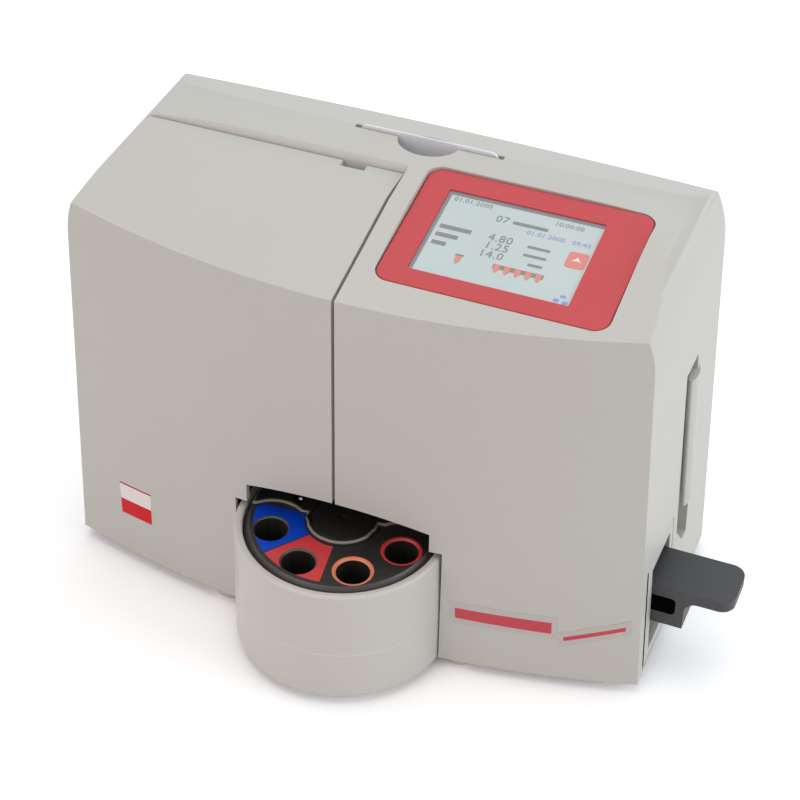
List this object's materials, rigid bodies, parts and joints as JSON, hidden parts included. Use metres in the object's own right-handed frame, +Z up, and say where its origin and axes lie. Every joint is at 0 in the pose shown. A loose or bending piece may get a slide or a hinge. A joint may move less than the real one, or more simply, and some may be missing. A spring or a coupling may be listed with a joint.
{
  "type": "glucose and lactate analyzer",
  "caption": "Bench analyzer with a round sample rotor at the front, a sloping touch display, a hinged side cover, a small side drawer and a pull-up card.",
  "frame": {"origin": "middle of the footprint's bounding box, at the level that the feet stand on", "axes": "+X right along the width, +Y to the back, +Z up; the sample tray faces -Y"},
  "size_m": [0.261, 0.146, 0.1753],
  "materials": {
    "casing": "smooth satin light grey plastic",
    "foot_rubber": "matt black rubber",
    "steel": "bright steel",
    "bearing_bronze": "sintered bronze",
    "motor_black": "black painted motor case",
    "black_plastic": "fine matt black plastic",
    "red_frame": "smooth red plastic",
    "display_glass": "flat touch glass",
    "blue_label": "blue plastic",
    "red_label": "red plastic",
    "orange_label": "orange plastic",
    "white_card": "white laminated card",
    "inner_grey": "grey moulded plastic",
    "folded_steel": "zinc plated sheet",
    "circuit_board": "green circuit board",
    "board_parts": "black moulded parts",
    "roller_white": "white acetal",
    "clear_tube": "milky silicone tube",
    "sensor_cap_blue": "blue plastic",
    "bottle_white": "milky plastic bottle",
    "socket_tray": "dark grey plastic",
    "socket_black": "black plastic"
  },
  "bodies": {
    "root": {"main_housing": "casing", "base_pan": "casing", "feet": "foot_rubber", "base_screws": "steel", "hinge_pins": "steel", "tray_cover": "casing", "rotor_bearing": "bearing_bronze", "rotor_motor": "motor_black", "inner_hood": "black_plastic", "display_bezel": "red_frame", "display_glass": "display_glass", "display_module": "black_plastic", "card_pocket": "inner_grey", "drawer_guides": "inner_grey", "inner_frame": "folded_steel", "main_board": "circuit_board", "main_board_parts": "board_parts", "power_board": "circuit_board", "power_board_parts": "board_parts", "needle_bracket": "folded_steel", "guide_rods": "steel", "needle_motor": "motor_black", "pump_head": "inner_grey", "pump_motor": "motor_black", "pump_tube": "clear_tube", "sensor_block": "inner_grey", "sensor_cap": "sensor_cap_blue", "system_bottle": "bottle_white", "bottle_cap": "black_plastic", "bottle_cradle": "inner_grey", "socket_plate": "socket_tray", "serial_socket": "socket_black", "network_socket": "socket_black", "usb_sockets": "socket_black", "power_socket": "socket_black"},
    "cover": {"door_shell": "casing"},
    "rotor": {"rotor_disc": "black_plastic", "rotor_deck": "black_plastic", "rotor_shaft": "steel", "hub_cap": "black_plastic", "deck_screws": "steel", "blue_inlay": "blue_label", "red_inlay": "red_label", "orange_ring": "orange_label", "red_ring": "red_label"},
    "drawer": {"drawer_front": "casing", "drawer_box": "casing", "drawer_handle": "black_plastic"},
    "card": {"info_card": "white_card"},
    "needle": {"needle_carriage": "inner_grey", "sampling_needle": "steel"},
    "screw": {"lead_screw": "steel"},
    "pump": {"roller_carrier": "inner_grey", "pump_rollers": "roller_white"}
  },
  "joints": [
    {"name": "cover_hinge", "type": "hinge", "parent": "root", "child": "cover", "pos_m": [-0.124, 0.00705, 0.0085], "axis": [0, -1, 0], "range_deg": [0, 85]},
    {"name": "rotor_turn", "type": "hinge", "parent": "root", "child": "rotor", "pos_m": [-0.0139, -0.03195, 0.0345], "axis": [0, 0, 1], "continuous": true},
    {"name": "drawer_slide", "type": "slide", "parent": "root", "child": "drawer", "axis": [1, 0, 0], "range_m": [0, 0.05]},
    {"name": "card_slide", "type": "slide", "parent": "root", "child": "card", "axis": [0, 0, 1], "range_m": [0, 0.06]},
    {"name": "needle_slide", "type": "slide", "parent": "root", "child": "needle", "axis": [0, 0, -1], "range_m": [0, 0.033]},
    {"name": "screw_turn", "type": "hinge", "parent": "root", "child": "screw", "pos_m": [-0.02502, 0.01307, 0.1145], "axis": [0, 0, 1], "range_deg": [0, 1000]},
    {"name": "pump_turn", "type": "hinge", "parent": "root", "child": "pump", "pos_m": [-0.0925, 0.02705, 0.1225], "axis": [0, -1, 0], "continuous": true}
  ],
  "couplings": [
    {"joint": "screw_turn", "follows": "needle_slide", "rad_per_m": 523.6}
  ]
}
